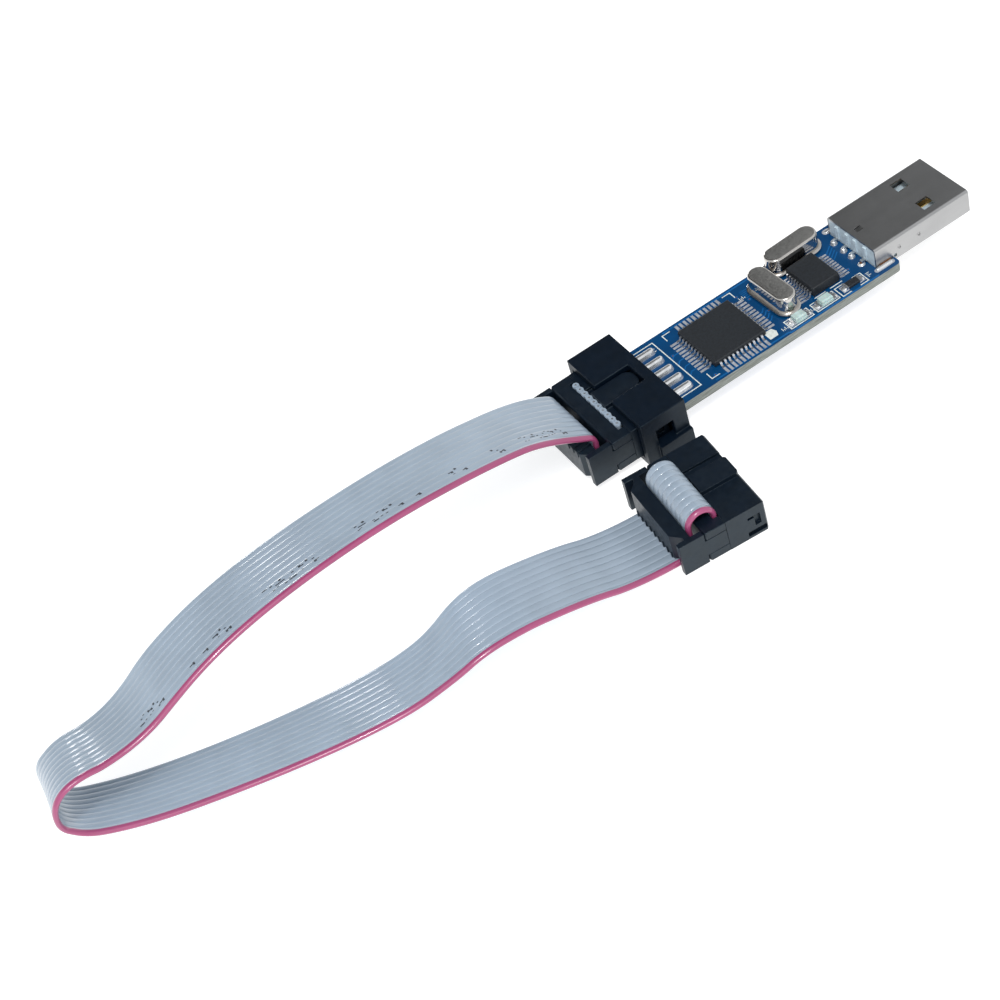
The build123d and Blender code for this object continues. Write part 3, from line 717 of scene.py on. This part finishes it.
# Radius of each ring of a dimple's rim, against how far out of the wall it stands.
DIMPLE_RINGS = ((0.22, -0.08), (0.24, 0.03), (0.3, 0.06), (0.38, 0.03), (0.4, -0.1))


def make_dimples():
    """Rims pressed up round the two dimples on each side of the plug."""
    rims = Solid()
    for side in (-1, 1):
        for x in DIMPLE_X:
            rings = []
            for radius, out in DIMPLE_RINGS:
                wall = side * (PLUG_HALF_WIDTH + out)
                angles = [math.radians(15 * k) for k in range(24)]
                rings.append([
                    (x + radius * math.cos(a), wall, PLUG_MID + radius * math.sin(a)) for a in angles
                ])
            rims.loft(rings)
    rims.make("plug_dimples", STEEL, BOARD, "plug_steel")


def bent_strip(solid, line, thick, width, place):
    """Sheet strip along a line of (out, up) points, its width across the line."""
    path = [Vector(p) for p in line]
    rings = []
    for i, here in enumerate(path):
        along = (path[min(i + 1, len(path) - 1)] - path[max(i - 1, 0)]).normalized()
        normal = Vector((-along.y, along.x)) * thick / 2
        over, under = here + normal, here - normal
        corners = ((over, -width / 2), (over, width / 2), (under, width / 2), (under, -width / 2))
        rings.append([place @ Vector((p.x, y, p.y)) for p, y in corners])
    solid.loft(rings)


def make_leads(name, at, start, reach, middle, width, count, pitch, turns):
    """Gull-wing leads of a chip: out of the body, down and out along the board."""
    leads = Solid()
    knee = start + 0.2 + 0.02 * (reach - start)
    line = [(start - 0.05, middle), (knee - 0.12, middle), (knee - 0.03, middle - 0.03)]
    line += [(knee, middle - 0.12), (knee + 0.08, 0.24), (knee + 0.12, 0.13)]
    line += [(knee + 0.22, 0.1), (reach, 0.095)]
    for turn in turns:
        spin = Matrix.Translation((*at, BOARD_TOP)) @ Matrix.Rotation(math.radians(turn), 4, "Z")
        for number in range(count):
            offset = (number - (count - 1) / 2) * pitch
            bent_strip(leads, line, 0.15, width, spin @ Matrix.Translation((0, offset, 0)))
    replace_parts(leads.make(name + "_bent", TIN, BOARD, "tinned_lead"), name)


CRYSTAL_SPAN = 6.4
CAN_WIDTH = 3.6
RIM_REACH = 0.7
RIM_FOOT = 3.15
RIM_RISE = 0.35
# Width of the crystal's base and its flange, against height over the board.
BASE_RINGS = ((4.3, 0.3), (4.55, 0.36), (4.6, 0.45), (4.55, 0.54), (4.3, 0.6), (3.08, 0.61), (3.08, 0.9))


def make_crystal(name, x, y, turn):
    """Pressed crystal can with a rolled lid edge, on a base with a flange."""
    turn = math.radians(turn)

    def rings(sizes):
        return [stadium(x, y, BOARD_TOP + z, CRYSTAL_SPAN + width, width, turn, 14) for width, z in sizes]

    can = Solid()
    rim = []
    for angle in [math.radians(a) for a in range(0, 90, 15)]:
        width = CAN_WIDTH - RIM_REACH + RIM_REACH * math.cos(angle)
        rim.append((width, RIM_FOOT + RIM_RISE * math.sin(angle)))
    can.loft(rings([(3.1, 3.25), (3.1, 0.6), (CAN_WIDTH, 0.6)] + rim + [(2.9, 3.5)]))
    can.picks[-1] = 1
    made = can.make(f"crystal_{name}_can_smooth", [CAN, LID], BOARD, "nickel_can")
    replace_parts(made, f"crystal_{name}_can")
    base = Solid()
    base.loft(rings(BASE_RINGS))
    made = base.make(f"crystal_{name}_base_smooth", CAN, BOARD, "nickel_can")
    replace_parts(made, f"crystal_{name}_base")


def make_header_joints():
    """Solder over the header's tails, above and below the board."""
    solder = Solid()
    for column in range(-2, 3):
        for level, height in ((BOARD_TOP, 0.87), (BOARD_BOTTOM, -0.87)):
            mound(solder, -18.78, column * PIN_PITCH, level, 4.45, 1.4, height)
    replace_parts(solder.make("header_solder_mounds", SOLDER, BOARD, "solder"), "header_solder_joints")


USB_CONTACT_Y = (-3.5, -1.0, 1.0, 3.5)
FLUSH_CONTACT_Y = -3.5
# Radius of a contact's tail over its solder, against height over the board.
TAIL_RINGS = ((0.3, 0.2), (0.28, 0.62), (0.2, 0.72))


def make_usb_joints():
    """Solder of the USB contacts and of the shell's two legs."""
    solder = Solid()
    for y in USB_CONTACT_Y:
        height = 0.3 if y == FLUSH_CONTACT_Y else 0.62
        mound(solder, 18.15, y, BOARD_TOP, 1.3, 1.25, height)
        mound(solder, 18.2, y, BOARD_BOTTOM, 1.5, 1.5, -0.75)
        if y != FLUSH_CONTACT_Y:
            solder.loft([stadium(18.2, y, BOARD_TOP + z, 2 * r, 2 * r) for r, z in TAIL_RINGS])
    plate(solder, stadium(18.15, FLUSH_CONTACT_Y, BOARD_TOP + 0.3, 0.62, 0.62), 0.02, 1)
    mound(solder, 20.35, -6.42, BOARD_TOP, 3.3, 0.72, 0.3)
    mound(solder, 19.25, 6.5, BOARD_TOP, 1.5, 0.9, 0.3)
    plate(solder, rectangle(20.9, -6.04, BOARD_TOP + 0.1, 2.2, 0.07), 0.26, 1)
    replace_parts(solder.make("usb_solder_mounds", [SOLDER, FLUX], BOARD, "solder"), "usb_solder_joints")


def make_end_solder():
    """Solder fillets at the ends of the small parts."""
    solder = Solid()
    for x in SMALL_PART_X:
        for side in (-1, 1):
            mound(solder, x + side * 1.72, SMALL_PART_Y, BOARD_TOP, 0.75, 1.25, 0.3)
    solder.make("small_part_fillets", SOLDER, BOARD, None)


def paint_nodes():
    """Materials of the CAD nodes that stay as they are."""
    looks = {
        "circuit_board": MASK, "usb_contacts": CONTACT, "header_pins": TIN,
        "crystal_a_blank": QUARTZ, "crystal_b_blank": QUARTZ, "crystal_a_leads": TIN, "crystal_b_leads": TIN,
        "socket_a_contacts": GOLD, "socket_b_contacts": GOLD,
        "underside_capacitors": CERAMIC, "underside_resistors": GLAZE,
        "led_a_terminals": TIN, "led_b_terminals": TIN, "resistor_terminals": TIN,
    }
    for node, material in looks.items():
        mesh = frame["nodes"][node].data
        mesh.materials.clear()
        mesh.materials.append(material)


# ---------------------------------------------------------------- board print and pads
SILK_LEVEL = BOARD_TOP + 0.012
SILK_THICK = 0.018
SILK_WIDTH = 0.17


def make_silkscreen():
    ink = Solid()

    def line(points, closed=False, width=SILK_WIDTH):
        stroke(ink, points, width, SILK_LEVEL, SILK_THICK, closed)

    for x, y, dx, dy in ((-0.47, 6.8, -1.5, -1.5), (-13.87, 6.8, 1.5, -1.5), (-13.79, -6.54, 1.5, 1.5)):
        line([(x + dx, y), (x, y), (x, y + dy)])
    line([(-21.0, 6.76), (-15.87, 6.76), (-15.78, -6.35), (-21.0, -6.35)])
    for low, high in ((1.45, 5.85), (6.65, 11.0)):
        line([(low, -7.0), (high, -7.0), (high, -4.9), (low, -4.9)], True)
    line([(13.2, -4.9), (11.55, -4.9), (11.55, -7.2), (13.2, -7.2)])
    line([(15.0, -4.9), (16.6, -4.9), (16.6, -7.2), (15.0, -7.2)])
    line([(8.1, -4.25), (10.25, -4.25)])
    line([(11.25, -4.25), (13.6, -4.25)])
    mark = [(-2.3, -4.55), (-0.8, -4.55), (-0.45, -5.5), (-0.8, -6.45), (-2.3, -6.45)]
    plate(ink, [(x, y, SILK_LEVEL) for x, y in mark], SILK_THICK)
    for x, y, turn in ((0.75, -6.1, 0), (6.0, -5.95, 0), (17.4, -6.2, 1), (-16.7, 5.0, 1), (0.2, 4.4, 0)):
        for k, high in enumerate((0.7, 0.4, 0.7, 0.25)):
            ends = [(-0.45 + 0.3 * k, -0.35), (-0.45 + 0.3 * k, high - 0.35)]
            line([(x + a, y + b) if turn == 0 else (x + b, y - a) for a, b in ends], False, 0.11)
    ink.make("board_silkscreen", SILK, BOARD, None, False)


VIAS = (
    (-15.2, 2.0), (-0.3, 5.2), (1.5, -1.0), (0.9, 3.3), (16.5, 4.9), (15.9, -2.9), (6.9, -3.4), (-12.9, -6.2),
)


def make_traces():
    """Copper under the mask: a few tracks, and vias with brown middles."""
    tracks = Solid()
    level = BOARD_TOP + 0.001

    def track(points, width=0.2):
        stroke(tracks, points, width, level, 0.006)

    for k in range(5):
        y = 5.6 - 0.42 * k
        bend = 1.2 + 0.42 * k
        track([(0.6, y), (1.2 + bend, y), (2.4 + bend, y + 0.8), (6.6, y + 0.8)])
    for k in range(4):
        track([(-0.3, -3.0 + 0.8 * k), (0.5, -3.0 + 0.8 * k), (1.2, -2.3 + 0.8 * k)])
        track([(14.9, 0.4 + 0.65 * k), (15.7, 0.4 + 0.65 * k), (17.3, 1.6 + 0.65 * k)])
        track([(-14.1, -2.9 + 1.6 * k), (-15.1, -2.9 + 1.6 * k), (-15.8, -3.6 + 1.6 * k)])
    track([(-13.5, -7.2), (0.6, -7.2), (1.0, -7.5), (18.5, -7.5)], 0.3)
    track([(-13.5, 7.25), (4.0, 7.25)], 0.3)
    for x, y in VIAS:
        plate(tracks, stadium(x, y, level, 0.62, 0.62), 0.008)
        plate(tracks, stadium(x, y, level, 0.26, 0.26), 0.014, 1)
    tracks.make("board_tracks", [TRACE, FLUX], BOARD, None, False)


def make_pads():
    pads = Solid()
    level, thick = BOARD_TOP + 0.004, 0.03
    for turn in range(4):
        for number in range(11):
            along = (number - 5) * CONTROLLER_PITCH
            x, y = [(6.45, along), (-along, 6.45), (-6.45, -along), (along, -6.45)][turn]
            size = (1.5, 0.46) if turn % 2 == 0 else (0.46, 1.5)
            plate(pads, rectangle(CONTROLLER_AT[0] + x, CONTROLLER_AT[1] + y, level, *size), thick)
    for side in (-1, 1):
        for number in range(10):
            x, y = BRIDGE_AT[0] + side * 4.1, BRIDGE_AT[1] + (number - 4.5) * BRIDGE_PITCH
            plate(pads, rectangle(x, y, level, 1.5, 0.38), thick)
    plate(pads, stadium(20.35, -6.55, level, 3.9, 0.9), thick)
    plate(pads, stadium(19.1, 6.6, level, 1.6, 1.2), thick)
    for x in SMALL_PART_X:
        for side in (-1, 1):
            plate(pads, rectangle(x + side * 1.6, SMALL_PART_Y, level, 1.1, 1.5), thick)
    pads.make("board_pads", PAD, BOARD, None, False)


make_connectors()
make_leads("controller_leads", CONTROLLER_AT, 5.0, 6.0, 0.6, 0.37, 11, CONTROLLER_PITCH, (0, 90, 180, 270))
make_leads("usb_bridge_leads", BRIDGE_AT, 2.65, 4.0, 0.975, 0.3, 10, BRIDGE_PITCH, (0, 180))
make_crystal("a", 11.35, 5.55, 2.0)
make_crystal("b", 3.7, 0.5, 92.0)
make_dimples()
make_header_joints()
make_usb_joints()
make_end_solder()
paint_nodes()
make_folds()
make_ribbon()
make_traces()
make_silkscreen()
make_pads()


# ---------------------------------------------------------------- stage
# The studio is dim over the far side, which the level tops mirror, and bright elsewhere.
DIM_SIDE = (0.0, 0.7, 0.714)
DIM_RANGE = (0.74, 0.93, 0.8, 0.05)
SUNS = (
    ("key", 1.45, 24, (0.25, 0.45, -1)),
    ("glint", 0.55, 4, (0.25, 0.45, -1)),
    ("rim", 0.14, 6, (-0.08, -0.97, -0.22)),
)


def make_stage():
    mesh = bpy.data.meshes.new("floor")
    size = 3.0
    corners = [(-size, -size, 0), (size, -size, 0), (size, size, 0), (-size, size, 0)]
    mesh.from_pydata(corners, [], [(0, 1, 2, 3)])
    mesh.materials.append(FLOOR)
    floor = bpy.data.objects.new("floor", mesh)
    floor.location.z = -0.0001
    bpy.context.scene.collection.objects.link(floor)

    world = bpy.data.worlds.new("studio")
    world.use_nodes = True
    bpy.context.scene.world = world
    tree = world.node_tree
    toward = tree.nodes.new("ShaderNodeVectorMath")
    toward.operation = "DOT_PRODUCT"
    toward.inputs[1].default_value = DIM_SIDE
    tree.links.new(tree.nodes.new("ShaderNodeTexCoord").outputs["Generated"], toward.inputs[0])
    level = tree.nodes.new("ShaderNodeMapRange")
    level.interpolation_type = "SMOOTHSTEP"
    for key, number in zip(("From Min", "From Max", "To Min", "To Max"), DIM_RANGE):
        level.inputs[key].default_value = number
    tree.links.new(toward.outputs["Value"], level.inputs["Value"])
    sky = tree.nodes["Background"]
    sky.inputs["Color"].default_value = (0.96, 0.98, 1, 1)
    tree.links.new(level.outputs["Result"], sky.inputs["Strength"])

    for name, energy, degrees, travel in SUNS:
        light = bpy.data.lights.new(name, "SUN")
        light.energy = energy
        light.angle = math.radians(degrees)
        lamp = bpy.data.objects.new(name, light)
        lamp.rotation_euler = Vector(travel).to_track_quat("-Z", "Y").to_euler()
        bpy.context.scene.collection.objects.link(lamp)


# The lens in millimetres, the camera's place in metres and its turn in degrees.
LENS = 78.97
CAMERA_PLACE = (-0.12442, -0.22174, 0.24461)
CAMERA_TURN = (42.137, 13.458, -32.811)


def make_camera():
    data = bpy.data.cameras.new("camera")
    data.sensor_width = 36.0
    data.lens = LENS
    data.clip_start = 0.01
    camera = bpy.data.objects.new("camera", data)
    camera.location = CAMERA_PLACE
    camera.rotation_euler = [math.radians(a) for a in CAMERA_TURN]
    bpy.context.scene.collection.objects.link(camera)
    bpy.context.scene.camera = camera
    bpy.context.scene.view_settings.view_transform = "Standard"


make_stage()
make_camera()
